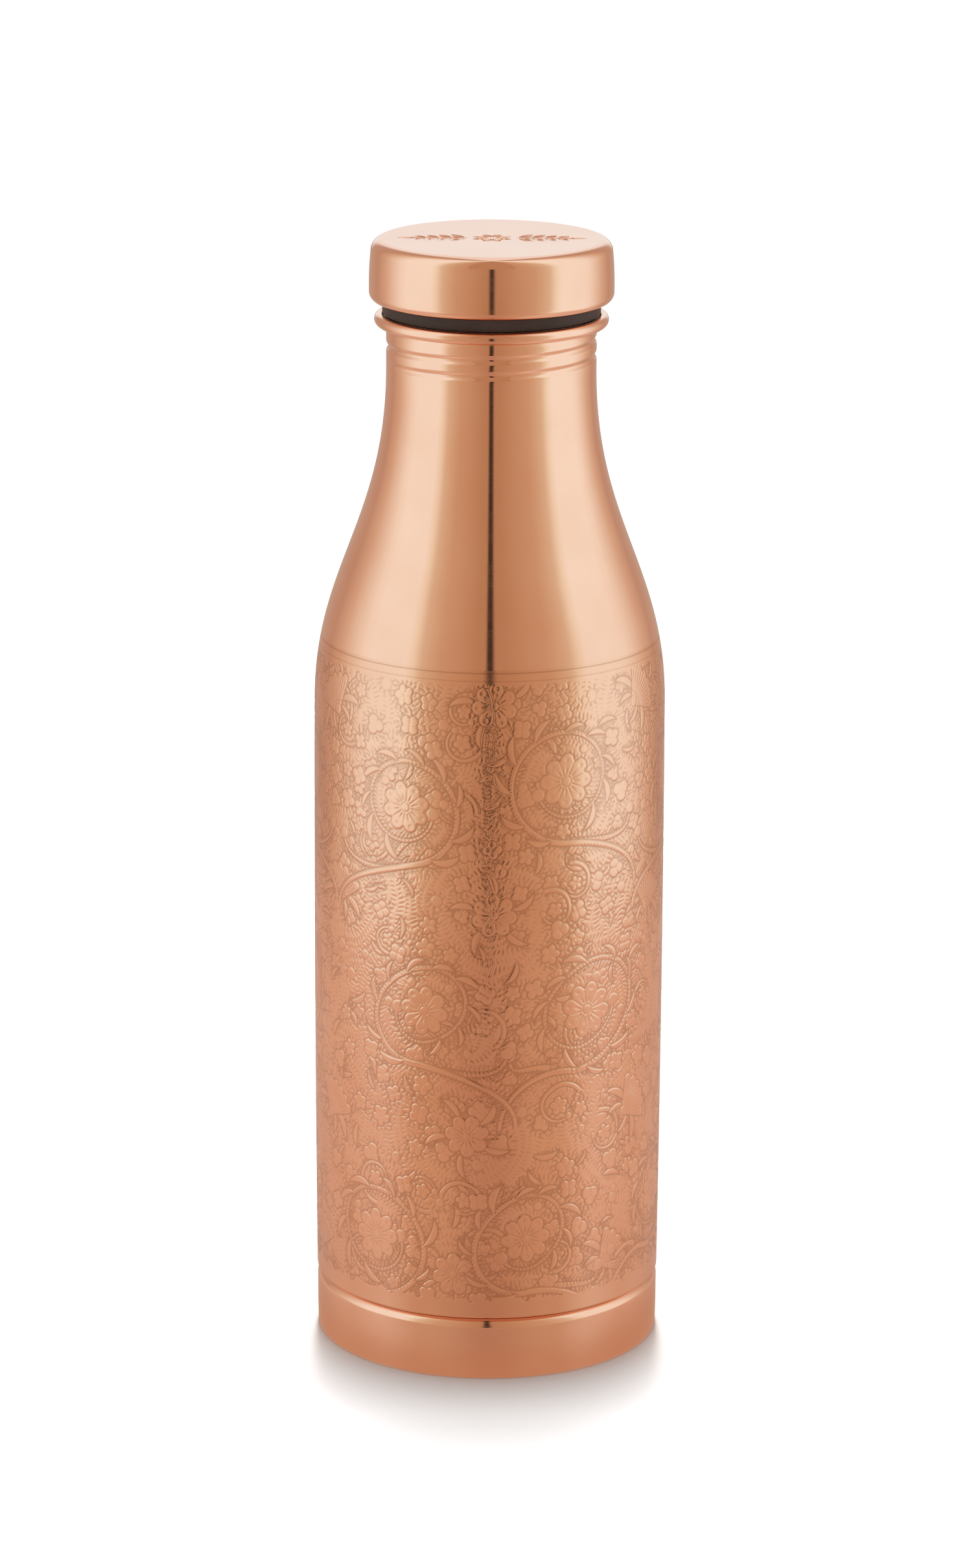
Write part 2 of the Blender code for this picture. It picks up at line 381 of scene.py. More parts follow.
# how often turning marks change, per metre: (round the axis, across the marks)
FINE_MARKS = (60.0, 9000.0)
BROAD_MARKS = (25.0, 700.0)
STRAY_MARKS = (300.0, 26000.0)
BRUSH_MARKS = (110.0, 7000.0)
STRAY_ROUGHNESS = 0.06
BRUSHED_ROUGHNESS = (0.045, 0.10)
CUT_ROUGHNESS = 0.06
# how far the painted shade in the cuts goes at the deepest cut
CUT_SHADE_SHARE = 0.5


def copper(name, roughness, grain, colour=COPPER, deep=COPPER_DEEP):
    """Turned copper: fine marks round the axis, soft changes of tone, and a few polishing scratches."""
    made, tree, shader = new_material(name)
    broad = turned_noise(tree, BROAD_MARKS, 2.0)
    smear = mapped(tree, broad, 0.3, 0.7, roughness * 0.8, roughness * 1.3)
    stray = mapped(tree, turned_noise(tree, STRAY_MARKS, 0.0), 0.66, 0.74, 0.0, STRAY_ROUGHNESS)
    put_all(tree, shader, {
        "Base Color": clouded(tree, noise(tree, own_place(tree), 45.0, 3.0), colour, deep),
        "Roughness": maths(tree, "ADD", smear, stray),
        "Metallic": 1.0,
    })
    bumped(tree, shader, turned_noise(tree, FINE_MARKS, 3.0, 0.6), 0.5, grain)
    return made


def engraved_copper(name, has_relief):
    """The body's brushed copper. Where the mesh says engraving, the cut is duller and painted darker, as
    painted shade in the recesses.
    """
    made, tree, shader = new_material(name)
    lines = turned_noise(tree, BRUSH_MARKS, 4.0, 0.65)
    tone = clouded(tree, noise(tree, own_place(tree), 60.0, 4.0), BRUSHED, BRUSHED_DEEP)
    rough = mapped(tree, lines, 0.25, 0.75, *BRUSHED_ROUGHNESS)
    if has_relief:
        cut = node(tree, "Attribute", attribute_name="engraving").outputs["Fac"]
        # painted shade: deeper cuts are mixed further towards the dark colour
        tone = mixed(tree, mapped(tree, cut, 0.15, 0.8, 0.0, CUT_SHADE_SHARE), tone, CUT_SHADE)
        rough = maths(tree, "ADD", rough, mapped(tree, cut, 0.0, 1.0, 0.0, CUT_ROUGHNESS))
    put_all(tree, shader, {
        "Base Color": tone,
        "Roughness": rough,
        "Metallic": 1.0,
        "Anisotropic": 0.5,
        "Anisotropic Rotation": 0.25,
        "Tangent": node(tree, "Tangent", direction_type="RADIAL", axis="Z").outputs[0],
    })
    bumped(tree, shader, lines, 0.6, 0.012)
    return made


def rubber(name):
    made, tree, shader = new_material(name)
    place = own_place(tree)
    cloud = noise(tree, place, 150.0, 4.0)
    put_all(tree, shader, {
        "Base Color": clouded(tree, cloud, RUBBER, RUBBER_PALE),
        "Roughness": mapped(tree, cloud, 0.3, 0.7, 0.42, 0.6),
        "Specular IOR Level": 0.35,
        "Specular Tint": (1.0, 0.72, 0.62, 1.0),
    })
    bumped(tree, shader, noise(tree, place, 2500.0, 2.0), 0.2, 0.01)
    return made


def solder(name):
    made, tree, shader = new_material(name)
    place = own_place(tree)
    cloud = noise(tree, place, 220.0, 4.0)
    put_all(tree, shader, {
        "Base Color": mixed(tree, cloud, TIN, TIN_DULL),
        "Roughness": mapped(tree, cloud, 0.3, 0.7, 0.35, 0.55),
        "Metallic": 1.0,
    })
    bumped(tree, shader, noise(tree, place, 900.0, 3.0), 0.6, 0.1)
    return made


polished = copper("copper_polished", 0.058, 0.0010)
polished_lid = copper("copper_polished_lid", 0.08, 0.0015)
polished_base = copper("copper_polished_base", 0.065, 0.0015)
bare = copper("copper_satin", 0.3, 0.01, SATIN, SATIN_DEEP)
brushed = engraved_copper("copper_brushed", False)
engraved = engraved_copper("copper_engraved", True)
gasket_rubber = rubber("rubber_dark")
tin_solder = solder("solder_tin")


# ------------ the turned pieces
def place(piece, body, replaced, slot):
    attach(piece, body)
    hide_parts(replaced)


def body_upper():
    thread_top = THREAD_START_Z + (THREAD_TURNS + THREAD_MARGIN_TURNS) * THREAD_PITCH
    heights = np.linspace(ENGRAVED_TOP_Z, NECK_BOTTOM_Z, 75)
    outline = [(float(outer_radius(z)), z) for z in heights]
    outline += straight((NECK_RADIUS, NECK_BOTTOM_Z), (NECK_RADIUS, thread_top), THREAD_ROW)
    outline += arc(LIP_RADIUS, LIP_Z, LIP_ROLL - SHEET, 180.0, -100.0, 24)
    reshape = pressed_thread(NECK_RADIUS, SEEN_NECK_GROOVE, NECK_RIB, (0.0, THREAD_TURNS))
    piece = turned("body_upper", sheet_loop(outline, SHEET), polished, reshape=reshape)
    place(piece, "bottle", "body_shell", "body_copper")


def body_lower():
    over_shoulder = (BASE_RADIUS - BASE_SHOULDER_ROUND, BASE_SHOULDER_Z, BASE_SHOULDER_ROUND + LOWER_EDGE_GAP)
    outline = [(SPIGOT_RADIUS, SPIGOT_BOTTOM_Z)]
    outline += straight(outline[0], (SPIGOT_RADIUS, LOWER_EDGE_Z - 0.2), 3.0)
    outline += arc(*over_shoulder, 80.0, LOWER_EDGE_ANGLE, 12)
    centre = body_side(LOWER_EDGE_Z) - LOWER_EDGE_ROUND
    outline += arc(centre, LOWER_EDGE_Z, LOWER_EDGE_ROUND, LOWER_EDGE_ANGLE - 90.0, 0.0, 10)
    outline += straight(outline[-1], (body_side(ENGRAVED_BOTTOM_Z), ENGRAVED_BOTTOM_Z), 1.0)
    piece = turned("body_lower", sheet_loop(outline, SHEET), brushed)
    place(piece, "bottle", "body_shell", "body_copper")


def base_cup():
    outline = [(0.0, RECESS_DEPTH)]
    outline += straight(outline[0], (RECESS_RADIUS - 0.4, RECESS_DEPTH), 3.0)
    outline += [(RECESS_RADIUS, RECESS_DEPTH - 0.12), (RECESS_RADIUS + 0.35, RECESS_DEPTH - 0.5)]
    outline += [(REST_RING_INNER - 0.3, 0.32), (REST_RING_INNER, 0.06), (REST_RING_INNER + 0.4, 0.0)]
    corner = BASE_BOTTOM_RADIUS - BASE_CORNER_ROUND
    outline += arc(corner, BASE_CORNER_ROUND, BASE_CORNER_ROUND, -90.0, 0.0, 10)
    outline += straight(outline[-1], (BASE_RADIUS, BASE_WIDEST_Z), 1.0)
    outline += straight(outline[-1], (BASE_RADIUS, BASE_SHOULDER_Z - 0.3), 1.0)
    outline += arc(BASE_RADIUS - BASE_SHOULDER_ROUND, BASE_SHOULDER_Z, BASE_SHOULDER_ROUND, 0.0, 75.0, 16)
    piece = turned("base_foot", sheet_loop(outline, BASE_SHEET), polished_base)
    place(piece, "bottle", "base_cup", "base_copper")


def solder_bead():
    floor_z = BASE_SHEET + 0.3
    top_z = SPIGOT_BOTTOM_Z - 0.3
    inner = REST_RING_INNER + BASE_SHEET + 0.4
    wall = BASE_BOTTOM_RADIUS - BASE_SHEET - 0.3
    loop = arc(wall - 0.6, floor_z + 0.6, 0.6, -90.0, 0.0, 6)
    loop += arc(wall - 0.9, top_z - 0.9, 0.9, 0.0, 90.0, 8)
    loop += arc(inner + 0.7, top_z - 0.7, 0.7, 90.0, 180.0, 8)
    loop += [(inner, floor_z)]
    piece = turned("solder_bead", loop, tin_solder, segments=SOLDER_SEGMENTS)
    place(piece, "bottle", "solder_ring", "solder")


def inside_leaf(x, y, base, facing, length, width):
    """1 inside a pointed leaf, 0 outside it, with a sloping wall between."""
    along = (x - base[0]) * math.cos(facing) + (y - base[1]) * math.sin(facing)
    off = (y - base[1]) * math.cos(facing) - (x - base[0]) * math.sin(facing)
    share = np.clip(along / length, 0.0, 1.0)
    edge = 0.5 * width * np.sin(math.pi * share**0.8)
    within = (along > 0.0) & (along < length)
    return np.clip((edge - np.abs(off)) / ORNAMENT_WALL + 0.5, 0.0, 1.0) * within


def leaf_spray(x, y):
    """The lid's ornament: a small flower between two sprigs, pressed into the metal."""
    leaves = []
    for petal in range(8):
        facing = (petal + 0.5) * math.tau / 8
        leaves.append(((1.2 * math.cos(facing), 1.2 * math.sin(facing)), facing, 3.2, 1.9))
    for side in (-1.0, 1.0):
        forward = 0.0 if side > 0 else math.pi
        for pair in range(4):
            reach = 6.2 + 2.9 * pair
            for turn in (-1.05, 1.05):
                leaves.append(((side * reach, 0.15 * turn), forward + turn, 5.2 - 0.6 * pair, 1.9))
        leaves.append(((side * 16.6, 0.0), forward, 4.0, 1.6))
        leaves.append(((side * 5.4, 0.0), forward, 12.0, 0.9))
    inside = np.zeros_like(x)
    for base, facing, length, width in leaves:
        inside = np.maximum(inside, inside_leaf(x, y, base, facing, length, width))
    return -ORNAMENT_DEPTH * inside


def lid_shell():
    side_top = LID_TOP - LID_TOP_ROUND
    outline = [(LID_CURL_LIP, LID_BOTTOM)]
    outline += arc(LID_RADIUS - LID_CURL, LID_BOTTOM + LID_CURL, LID_CURL, -90.0, 0.0, 20)
    for share in np.linspace(0.0, 1.0, 16)[:-1]:
        narrowing = (LID_RADIUS - LID_TOP_EDGE_RADIUS) * share**2
        outline.append((LID_RADIUS - narrowing, LID_WIDEST + (side_top - LID_WIDEST) * share))
    outline += arc(LID_TOP_EDGE_RADIUS - LID_TOP_ROUND, side_top, LID_TOP_ROUND, 0.0, 90.0, 20)
    outline += straight(outline[-1], (0.0, LID_TOP), 0.25)
    top_z = LIP_TOP_Z + LID_TOP

    def reshape(angle, radius, height):
        on_top = height > top_z - 1e-3
        x = radius * np.cos(angle)
        y = radius * np.sin(angle)
        return radius, height + np.where(on_top, leaf_spray(x, y), 0.0)

    loop = sheet_loop(outline, SHEET)
    piece = turned("lid_shell", loop, polished_lid, LIP_TOP_Z, reshape, LID_SEGMENTS)
    place(piece, "lid", "cap_shell", "lid_copper")


def lid_plug():
    bottom = PLUG_FLANGE_BOTTOM - PLUG_LENGTH
    wall_bottom = bottom + PLUG_CORNER_ROUND
    groove_turns = THREAD_TURNS + THREAD_MARGIN_TURNS
    thread_top = THREAD_START_Z + groove_turns * THREAD_PITCH + PLUG_GROOVE[1] - LIP_TOP_Z
    fillet = (PLUG_RADIUS + PLUG_FLANGE_ROUND, PLUG_FLANGE_BOTTOM - PLUG_FLANGE_ROUND)
    outline = [(0.0, bottom)]
    outline += straight(outline[0], (PLUG_RADIUS - PLUG_CORNER_ROUND - 0.2, bottom), 2.0)
    outline += arc(PLUG_RADIUS - PLUG_CORNER_ROUND, wall_bottom, PLUG_CORNER_ROUND, -90.0, 0.0, 12)
    outline += straight(outline[-1], (PLUG_RADIUS, thread_top), THREAD_ROW)
    outline += arc(*fillet, PLUG_FLANGE_ROUND, 180.0, 90.0, 8)
    outline.append((PLUG_FLANGE_RADIUS, PLUG_FLANGE_BOTTOM))
    below_the_plug = (bottom + LIP_TOP_Z - THREAD_START_Z) / THREAD_PITCH - 1.0
    reshape = pressed_thread(PLUG_RADIUS, PLUG_GROOVE, PLUG_GROOVE, (below_the_plug, groove_turns))
    loop = sheet_loop(outline, SHEET)
    piece = turned("lid_plug", loop, bare, base_z=LIP_TOP_Z, reshape=reshape)
    place(piece, "lid", "cap_plug", "plug_copper")


def lid_gasket():
    centre = GASKET_OUTER - GASKET_ROUND
    lower = SEEN_GASKET_ROUND
    loop = arc(GASKET_OUTER - lower, GASKET_BOTTOM + lower, lower, -90.0, 0.0, 8)
    loop += arc(centre, GASKET_TOP - GASKET_ROUND, GASKET_ROUND, 0.0, 90.0, 8)
    loop += [(GASKET_INNER + GASKET_CHAMFER, GASKET_TOP), (GASKET_INNER, GASKET_TOP - GASKET_CHAMFER)]
    loop.append((GASKET_INNER, GASKET_BOTTOM))
    piece = turned("lid_gasket", loop, gasket_rubber, base_z=LIP_TOP_Z)
    place(piece, "gasket", "cap_gasket", "gasket_rubber")


def engraved_panels(relief):
    """The engraved side of the body, as upright panels that meet edge to edge."""
    heights = ROW_HEIGHTS
    radius = outer_radius(heights)
    slope = np.gradient(radius, heights)
    length = np.sqrt(1.0 + slope**2)
    # outward normal of the plain surface, and the direction up along it
    normal_r, normal_z = 1.0 / length, -slope / length
    up_r, up_z = -normal_z, normal_r
    step_v = (heights[1] - heights[0]) * length
    step_u = radius * math.tau / COLUMNS
    across = (np.roll(relief, -1, axis=1) - np.roll(relief, 1, axis=1)) / (2 * step_u[:, None])
    upwards = np.gradient(relief, axis=0) / step_v[:, None]
    inner_rows = np.arange(0, PANEL_ROWS + 1, PANEL_INNER_STEP)
    inner = np.stack([radius - SHEET * normal_r, heights - SHEET * normal_z], axis=1)[inner_rows]
    for panel in range(PANELS):
        column = np.arange(panel * PANEL_COLUMNS, (panel + 1) * PANEL_COLUMNS + 1)
        angle = column * math.tau / COLUMNS
        raised = relief[:, column % COLUMNS]
        out_r = radius[:, None] + raised * normal_r[:, None]
        out_z = heights[:, None] + raised * normal_z[:, None]
        outside = round_the_axis(out_r, out_z, angle).reshape(-1, 3)
        inside = round_the_axis(inner[:, :1], inner[:, 1:], angle).reshape(-1, 3)
        points = np.concatenate([outside, inside])
        wide = PANEL_COLUMNS + 1
        grid = np.arange((PANEL_ROWS + 1) * wide).reshape(-1, wide)
        back = grid.size + np.arange(len(inner_rows) * wide).reshape(-1, wide)
        quads = [
            (grid[:-1, :-1], grid[:-1, 1:], grid[1:, 1:], grid[1:, :-1]),
            (back[:-1, :-1], back[1:, :-1], back[1:, 1:], back[:-1, 1:]),
            (grid[:1, 1:], grid[:1, :-1], back[:1, :-1], back[:1, 1:]),
            (grid[-1:, :-1], grid[-1:, 1:], back[-1:, 1:], back[-1:, :-1]),
        ]
        faces = []
        for corners in quads:
            faces += np.stack([c.ravel() for c in corners], axis=1).tolist()
        for k, low in enumerate(inner_rows[:-1]):
            high = inner_rows[k + 1]
            faces.append([*grid[low : high + 1, 0], back[k + 1, 0], back[k, 0]])
            faces.append([back[k, -1], back[k + 1, -1], *grid[low : high + 1, -1][::-1]])
        piece = add_object(f"body_panel_{panel + 1}", points, faces, engraved)
        tilt_u = across[:, column % COLUMNS]
        tilt_v = upwards[:, column % COLUMNS]
        n_r = normal_r[:, None] - tilt_v * up_r[:, None]
        n_z = normal_z[:, None] - tilt_v * up_z[:, None]
        n_x = n_r * np.cos(angle) + tilt_u * np.sin(angle)
        n_y = n_r * np.sin(angle) - tilt_u * np.cos(angle)
        normals = np.stack([n_x, n_y, n_z], axis=-1).reshape(-1, 3)
        normals = np.concatenate([normals, -inside * (1.0, 1.0, 0.0)])
        normals /= np.linalg.norm(normals, axis=1)[:, None]
        piece.data.shade_smooth()
        piece.data.normals_split_custom_set_from_vertices(normals.tolist())
        cut = np.zeros(len(points), np.float32)
        deepest = DEEPEST * np.interp(heights, *LOW_DEPTH)[:, None]
        cut[: grid.size] = np.clip(-raised / deepest, 0.0, 1.0).ravel()
        piece.data.attributes.new("engraving", "FLOAT", "POINT").data.foreach_set("value", cut)
        place(piece, "bottle", "body_shell", "body_copper")


# ------------ the engraving, on the unrolled side; a tool is (half width, depth)
AROUND = math.tau * BODY_RADIUS
CELL = AROUND / COLUMNS
CELL_Z = (ENGRAVED_TOP_Z - ENGRAVED_BOTTOM_Z) / PANEL_ROWS
CAMERA_SIDE = AROUND * 0.75
PATTERN_TOP_Z = 159.4
PATTERN_BOTTOM_Z = 17.3
LINE = (0.32, 0.064)
FINE = (0.27, 0.048)
HAIR = (0.24, 0.038)
TOOTH = (0.29, 0.050)
PETAL_SWELL = 0.012
STEM_SWELL = 0.008
BEAD_SWELL = 0.018
SWELL_BLUR = 0.28
PILLOW_BLUR = 0.55
PILLOW_SHARE = 0.45
WIDE_STEM = 2.1
BARB_ROW = 1.95
BARB_STEP = 1.0
LOW_DEPTH = ((28.0, 95.0), (1.65, 1.0))
SEGMENTS_AT_ONCE = 12
ROUND_THE_BODY = 6
VOLUTE_STEP = AROUND / ROUND_THE_BODY
MAJOR_ROWS = ((33.0, -9.5), (84.0, 3.5), (134.0, -1.0))
MINOR_ROWS = ((59.0, -3.0), (108.5, 1.5), (153.0, 0.0), (26.0, -9.5))
random = np.random.default_rng(11)


class Engraving:
    """Cuts and swells on the sheet that wraps round the body. Later work covers what lies under it."""

    def __init__(self):
        self.cuts = np.zeros((PANEL_ROWS + 1, COLUMNS))
        self.swell = np.zeros((PANEL_ROWS + 1, COLUMNS))

    def window(self, low, high):
        """(rows, columns) that cover a rectangle, with the place of each. Columns may run past the seam."""
        first, last = math.floor(low[0] / CELL), math.ceil(high[0] / CELL)
        bottom = max(0, math.floor((low[1] - ENGRAVED_BOTTOM_Z) / CELL_Z))
        top = min(PANEL_ROWS, math.ceil((high[1] - ENGRAVED_BOTTOM_Z) / CELL_Z))
        columns = np.arange(first, last + 1)
        rows = np.arange(bottom, top + 1)
        return rows, columns % COLUMNS, columns * CELL, ENGRAVED_BOTTOM_Z + rows * CELL_Z

    def cut(self, line, tool, closed=False, taper=(1.0, 1.0)):
        """Cuts a groove along the line with a tool of (half width, depth), narrowing towards its ends."""
        line = np.asarray(line, float)
        if closed:
            line = np.concatenate([line, line[:1]])
        share = np.linspace(0.0, 1.0, len(line))
        weight = np.interp(share, (0.0, 0.3, 0.7, 1.0), (taper[0], 1.0, 1.0, taper[1]))
        for first in range(0, len(line) - 1, SEGMENTS_AT_ONCE):
            part = slice(first, first + SEGMENTS_AT_ONCE + 1)
            self.cut_part(line[part], weight[part], *tool)

    def cut_part(self, line, weight, half_width, depth):
        rows, columns, x, z = self.window(line.min(axis=0) - half_width, line.max(axis=0) + half_width)
        if not len(rows):
            return
        start, along = line[:-1], np.diff(line, axis=0)
        length = np.maximum((along**2).sum(axis=1), 1e-9)
        x = x[None, :, None] - start[:, 0]
        z = z[:, None, None] - start[:, 1]
        t = np.clip((x * along[:, 0] + z * along[:, 1]) / length, 0.0, 1.0)
        size = weight[:-1] + np.diff(weight) * t
        off = np.hypot(x - t * along[:, 0], z - t * along[:, 1]) / (half_width * size)
        pressed = depth * size * groove(off)
        area = np.ix_(rows, columns)
        self.cuts[area] = np.minimum(self.cuts[area], -pressed.max(axis=2))

    def wipe(self, outline, swell):
        """Clears what lies inside a closed outline, and raises the metal there."""
        outline = np.asarray(outline, float)
        rows, columns, x, z = self.window(outline.min(axis=0), outline.max(axis=0))
        if not len(rows):
            return
        flips = np.zeros((len(rows), len(columns) + 1), int)
        for start, end in zip(outline, np.roll(outline, -1, axis=0)):
            crossed = np.nonzero((z >= min(start[1], end[1])) & (z < max(start[1], end[1])))[0]
            if len(crossed):
                share = (z[crossed] - start[1]) / (end[1] - start[1])
                at = np.searchsorted(x, start[0] + share * (end[0] - start[0]))
                np.add.at(flips, (crossed, at), 1)
        inside = np.cumsum(flips, axis=1)[:, :-1] % 2 == 1
        area = np.ix_(rows, columns)
        self.cuts[area] = np.where(inside, 0.0, self.cuts[area])
        self.swell[area] = np.where(inside, swell, self.swell[area])

    def emboss(self, outline, swell, edge):
        """Clears and raises what a closed outline holds, and cuts its edge with a tool."""
        self.wipe(outline, swell)
        self.cut(outline, edge, closed=True)

    def band(self, line, side, half_width):
        """A raised band along a line, edged by two cuts. Returns its left edge."""
        left, right = line + side * half_width, line - side * half_width
        self.wipe(np.concatenate([left, right[::-1]]), STEM_SWELL)
        self.cut(left, LINE)
        self.cut(right, LINE)
        return left

    def relief(self):
        """The finished height of the metal, in millimetres, for each point of the sheet."""
        up = np.fft.fftfreq(PANEL_ROWS + 1, CELL_Z)[:, None]
        along = np.fft.rfftfreq(COLUMNS, CELL)[None, :]
        squared = up**2 + along**2
        soft = np.exp(-2.0 * (math.pi * SWELL_BLUR) ** 2 * squared)
        softer = np.exp(-2.0 * (math.pi * PILLOW_BLUR) ** 2 * squared)
        sum_of_both = np.fft.rfft2(self.swell) * soft + np.fft.rfft2(self.cuts) * softer * PILLOW_SHARE
        swell = np.fft.irfft2(sum_of_both, s=self.swell.shape)
        heights = ROW_HEIGHTS
        angle = np.arange(COLUMNS) * math.tau / COLUMNS
        ragged = 0.9 * np.abs(np.sin(19.0 * angle)) + 0.7 * np.abs(np.sin(31.0 * angle + 1.0))
        fade = np.clip((heights[:, None] - PATTERN_BOTTOM_Z - ragged) / 0.5, 0.0, 1.0)
        fade *= (np.clip((PATTERN_TOP_Z - heights) / 0.5, 0.0, 1.0) * np.interp(heights, *LOW_DEPTH))[:, None]
        pattern = (self.cuts + swell - float(swell.mean())) * fade
        for border, tool in ((UPPER_BORDER_Z, LINE), (LOWER_BORDER_Z, FINE)):
            pattern -= (tool[1] * groove((heights - border) / tool[0]))[:, None]
        return pattern


sheet = Engraving()


def polar(centre, radius, angle):
    return np.stack([centre[0] + radius * np.cos(angle), centre[1] + radius * np.sin(angle)], axis=-1)


def circle(centre, radius, points=18):
    return polar(centre, radius, np.linspace(0.0, math.tau, points, endpoint=False))


def bead(centre, radius):
    sheet.emboss(circle(centre, radius), BEAD_SWELL, FINE)


def lobed(centre, radius, lobes, turn, depth, points):
    angle = np.linspace(0.0, math.tau, points, endpoint=False)
    share = np.abs(np.cos(lobes * (angle - turn) / 2.0)) ** 0.6
    return polar(centre, radius * (1.0 - depth + depth * share), angle)


def flower(centre, radius, petals, turn):
    """A flower with a round middle, and in each petal a tapered stroke and a dot."""
    sheet.emboss(lobed(centre, radius, petals, turn, 0.3, 16 * petals), PETAL_SWELL, LINE)
    for petal in range(petals):
        angle = turn + petal * math.tau / petals
        between = angle + math.pi / petals
        sheet.cut(polar(centre, radius * np.array([0.30, 0.45, 0.60]), angle), FINE, taper=(1.2, 0.3))
        sheet.cut(polar(centre, radius * np.array([0.26, 0.45, 0.68]), between), FINE, taper=(1.2, 0.8))
        sheet.cut(circle(polar(centre, radius * 0.76, angle), 0.3, 6), HAIR, closed=True)
    bead(centre, radius * 0.18)


def blossom(centre, radius, lobes, turn):
    sheet.emboss(lobed(centre, radius, lobes, turn, 0.42, 9 * lobes), PETAL_SWELL, LINE)
    sheet.cut(circle(centre, 0.3, 6), HAIR, closed=True)
    for lobe in range(lobes):
        angle = turn + (lobe + 0.5) * math.tau / lobes
        sheet.cut(polar(centre, radius * np.array([0.28, 0.55]), angle), HAIR)


def fan(centre, radius, facing, spread):
    """A leaf of ribs that fan out from a bead, with a scalloped edge."""
    angle = facing + np.linspace(-spread, spread, 61)
    scallop = 0.9 + 0.1 * np.abs(np.sin(np.linspace(0.0, 6.0 * math.pi, 61))) ** 0.6
    sheet.emboss(np.concatenate([polar(centre, radius * scallop, angle), [centre]]), PETAL_SWELL, LINE)
    inner = facing + np.linspace(-spread * 0.9, spread * 0.9, 16)
    sheet.cut(polar(centre, radius * 0.34, inner), FINE)
    for rib in np.linspace(-0.86, 0.86, 12):
        reach = radius * np.array([0.40, 0.6, 0.80])
        sheet.cut(polar(centre, reach, facing + spread * rib), FINE, taper=(0.5, 1.1))
    bead(polar(centre, radius * 0.14, facing), radius * 0.13)


def stem(line, start_width, end_width):
    """A raised band along a line. A wide one has a row of short teeth inside its left edge."""
    line = np.asarray(line, float)
    half_width = np.linspace(start_width, end_width, len(line))[:, None] / 2.0
    left = sheet.band(line, left_of(np.gradient(line, axis=0)), half_width)
    if start_width + end_width > WIDE_STEM:
        fringe(left[2:-4], -1, 0.5 * start_width, 0.9)


def fringe(line, side, length, step=1.1):
    """A row of short curved strokes beside a line, on its left (side 1) or its right (side -1)."""
    line = np.asarray(line, float)
    run = np.concatenate([[0.0], np.cumsum(np.hypot(*np.diff(line, axis=0).T))])
    for at in np.arange(step * 0.5, run[-1] - 0.3, step):
        here, ahead = [np.array([np.interp(d, run, line[:, k]) for k in (0, 1)]) for d in (at, at + 0.3)]
        along = (ahead - here) / 0.3
        out = side * np.array([-along[1], along[0]])
        reach = length * random.uniform(0.75, 1.15)
        middle = here + out * reach * 0.55 + along * reach * 0.1
        end = here + out * reach + along * reach * 0.5
        sheet.cut([here, middle, end], TOOTH, taper=(1.1, 0.6))


def wrapped(distance):
    return np.mod(distance + AROUND / 2, AROUND) - AROUND / 2


def barbs(centres):
    """Fills the sheet with short slanted strokes, in rings round the nearest centre."""
    x = np.arange(COLUMNS)[None, :] * CELL
    z = ENGRAVED_BOTTOM_Z + np.arange(PANEL_ROWS + 1)[:, None] * CELL_Z
    nearest = np.full(sheet.cuts.shape, 1e9)
    off_x, off_z = np.zeros_like(nearest), np.zeros_like(nearest)
    for centre in centres:
        dx, dz = wrapped(x - centre[0]) + 0.0 * z, z - centre[1] + 0.0 * x
        distance = np.hypot(dx, dz)
        closer = distance < nearest
        nearest = np.where(closer, distance, nearest)
        off_x, off_z = np.where(closer, dx, off_x), np.where(closer, dz, off_z)
    radius = nearest + 0.5 * np.sin(off_x * 0.6 + 1.3 * np.sin(off_z * 0.5))
    ring = np.floor(radius / BARB_ROW)
    middle = (ring + 0.5) * BARB_ROW
    count = np.maximum(6.0, np.round(math.tau * middle / BARB_STEP))
    up = radius / BARB_ROW - ring
    slant = np.where(ring % 2 == 0, 0.9, -0.9) * (up - 0.4 * up**2)
    turn = np.arctan2(off_z, off_x) / math.tau * count + slant
    place = turn - np.floor(turn) - 0.5
    chance = np.sin(np.floor(turn) * 12.9898 + ring * 78.233) * 43758.5453
    chance = chance - np.floor(chance)
    across = place * math.tau * middle / count
    half_width, depth = TOOTH
    reach = np.clip((up - 0.05) / 0.2, 0.0, 1.0) * np.clip((0.72 + 0.25 * chance - up) / 0.25, 0.0, 1.0)
    sheet.cuts -= depth * reach * (0.7 + 0.3 * chance) * groove(across / half_width)


def sprinkle(spacing, tries):
    """Small blossoms, curls, beads and plumes, scattered so that no two sit closer than the spacing."""
    height = PATTERN_TOP_Z - PATTERN_BOTTOM_Z
    kept = np.zeros((0, 2))
    for spot in random.random((tries, 2)) * (AROUND, height) + (0.0, PATTERN_BOTTOM_Z):
        away = np.hypot(wrapped(kept[:, 0] - spot[0]), kept[:, 1] - spot[1])
        if len(kept) and away.min() < spacing:
            continue
        kept = np.concatenate([kept, spot[None]])
        kind, turn = random.random(), random.uniform(0.0, math.tau)
        if kind < 0.45:
            radius = random.uniform(1.9, 2.7)
            fringe(circle(spot, radius + 0.3, 24), -1, 1.3)
            blossom(spot, radius, int(random.integers(3, 6)), turn)
        elif kind < 0.57:
            curl(spot, turn, random.choice((-1, 1)), random.uniform(3.4, 4.6))
        elif kind < 0.72:
            fringe(circle(spot, 1.6, 16), -1, 1.2)
            bead(spot, random.uniform(1.0, 1.5))
            bead(polar(spot, 2.1, turn), random.uniform(0.7, 1.0))
        else:
            plume(spot, turn, random.uniform(5.0, 7.5), random.choice((-1, 1)))


